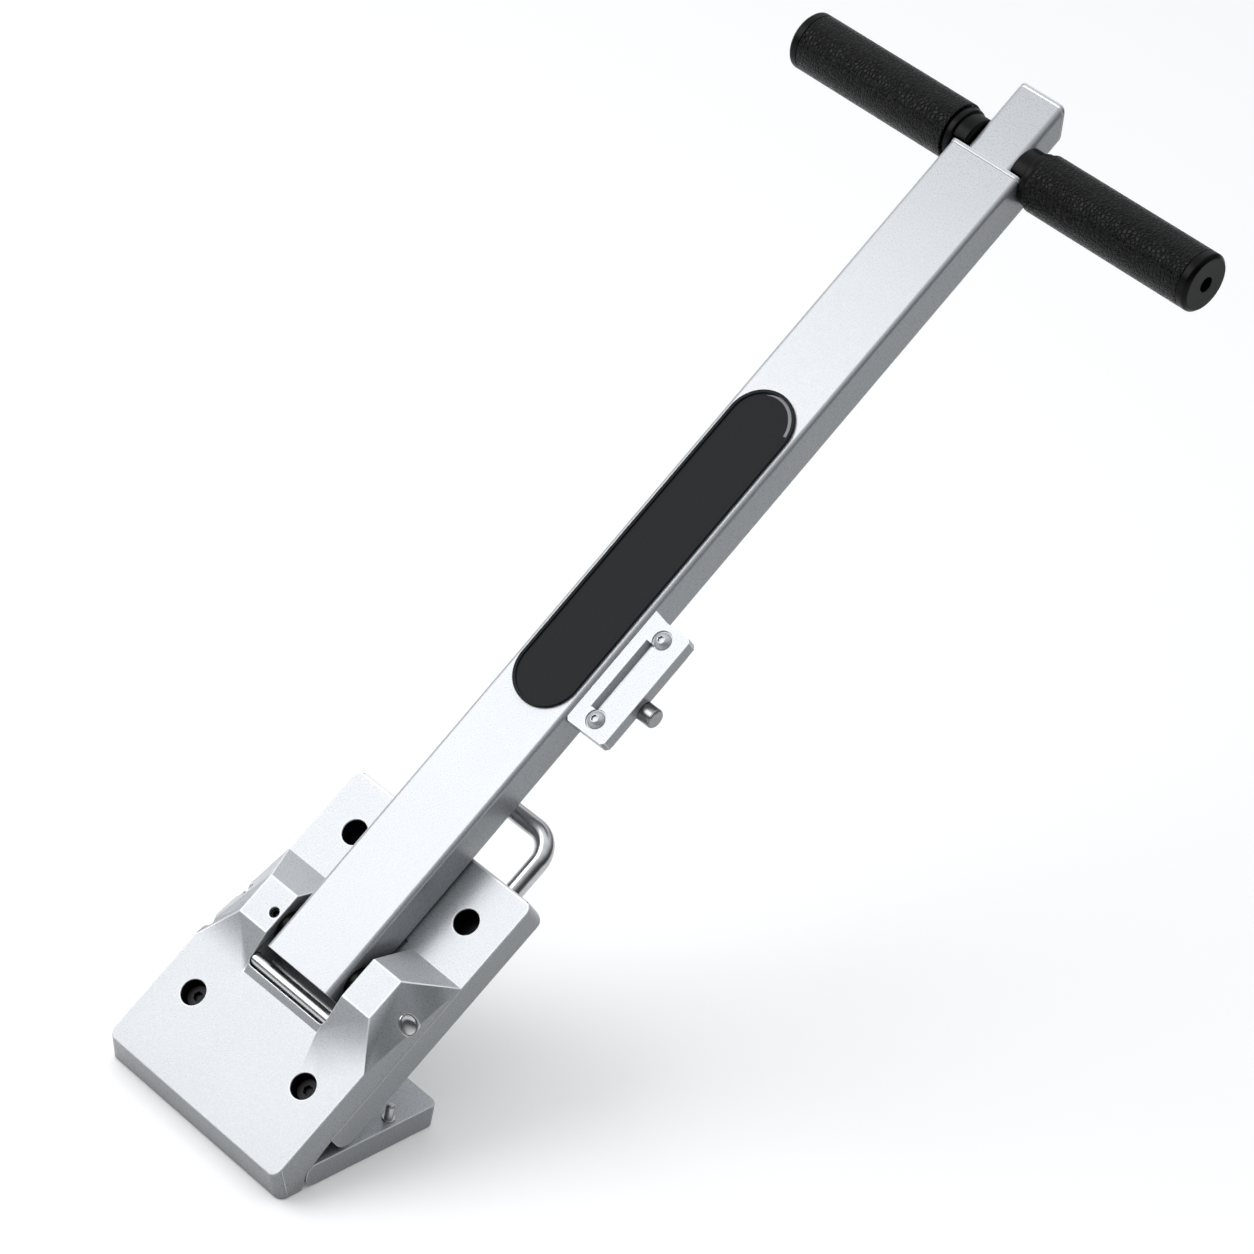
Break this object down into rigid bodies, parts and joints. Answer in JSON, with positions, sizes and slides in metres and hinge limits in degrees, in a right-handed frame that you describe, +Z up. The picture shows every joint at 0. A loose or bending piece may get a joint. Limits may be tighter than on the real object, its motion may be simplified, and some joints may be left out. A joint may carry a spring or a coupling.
{
  "type": "manhole cover lifter",
  "caption": "Lever for lifting manhole covers: a wedge head hinged on a flat magnet foot, with a telescopic arm and a T handle.",
  "frame": {"origin": "middle of the foot's underside, on the ground", "axes": "+X to the object's right across the head, +Y from the nose to the rear, +Z up"},
  "size_m": [0.296, 0.5375, 0.4951],
  "materials": {
    "painted_steel": "satin pale blue-grey coating",
    "tube_metal": "satin anodised, pale blue-grey",
    "bare_steel": "polished",
    "black_steel": "blackened",
    "bronze": "plain bearing metal",
    "black_plastic": "fine grain",
    "grip_rubber": "leather-grained",
    "pad_rubber": "smooth matt"
  },
  "bodies": {
    "foot": {"foot_plate": "painted_steel", "foot_magnets": "bare_steel", "foot_stud": "bare_steel", "foot_hinge_pin": "bare_steel"},
    "head": {"head_body": "painted_steel", "hinge_bushes": "bronze", "lower_block": "painted_steel", "front_cap_screws": "black_steel", "cross_bar": "bare_steel", "pivot_pin": "bare_steel", "pivot_set_screw": "black_steel", "rear_bail": "painted_steel"},
    "arm": {"outer_tube": "tube_metal", "pivot_bushes": "black_plastic", "tube_rim": "tube_metal", "upper_guides": "black_plastic", "oval_pad": "pad_rubber", "lock_housing": "tube_metal", "lock_cover": "tube_metal", "lock_screws": "bare_steel", "plunger_spring": "bare_steel"},
    "plunger": {"lock_plunger": "bare_steel", "plunger_knob": "bare_steel"},
    "handle_tube": {"inner_tube": "tube_metal", "inner_tube_cap": "tube_metal", "guide_shoes": "black_plastic", "handle_bar": "tube_metal", "handle_pin": "bare_steel", "left_collar": "black_plastic", "right_collar": "black_plastic", "left_spool": "black_plastic", "right_spool": "black_plastic", "left_grip": "grip_rubber", "right_grip": "grip_rubber", "left_end_cap": "black_plastic", "right_end_cap": "black_plastic"}
  },
  "joints": [
    {"name": "foot_hinge", "type": "hinge", "parent": "foot", "child": "head", "pos_m": [0, -0.04325, 0.0075], "axis": [1, 0, 0], "range_deg": [0, 35]},
    {"name": "arm_pivot", "type": "hinge", "parent": "head", "child": "arm", "pos_m": [0, 0.01099, 0.08232], "axis": [1, 0, 0], "range_deg": [0, 110]},
    {"name": "telescope", "type": "slide", "parent": "arm", "child": "handle_tube", "axis": [0, 0.749, 0.6626], "range_m": [0, 0.15]},
    {"name": "lock_pull", "type": "slide", "parent": "arm", "child": "plunger", "axis": [1, 0, 0], "range_m": [0, 0.006], "stiffness_N_per_m": 800, "springref_m": -0.004, "deforming": ["plunger_spring"]}
  ]
}
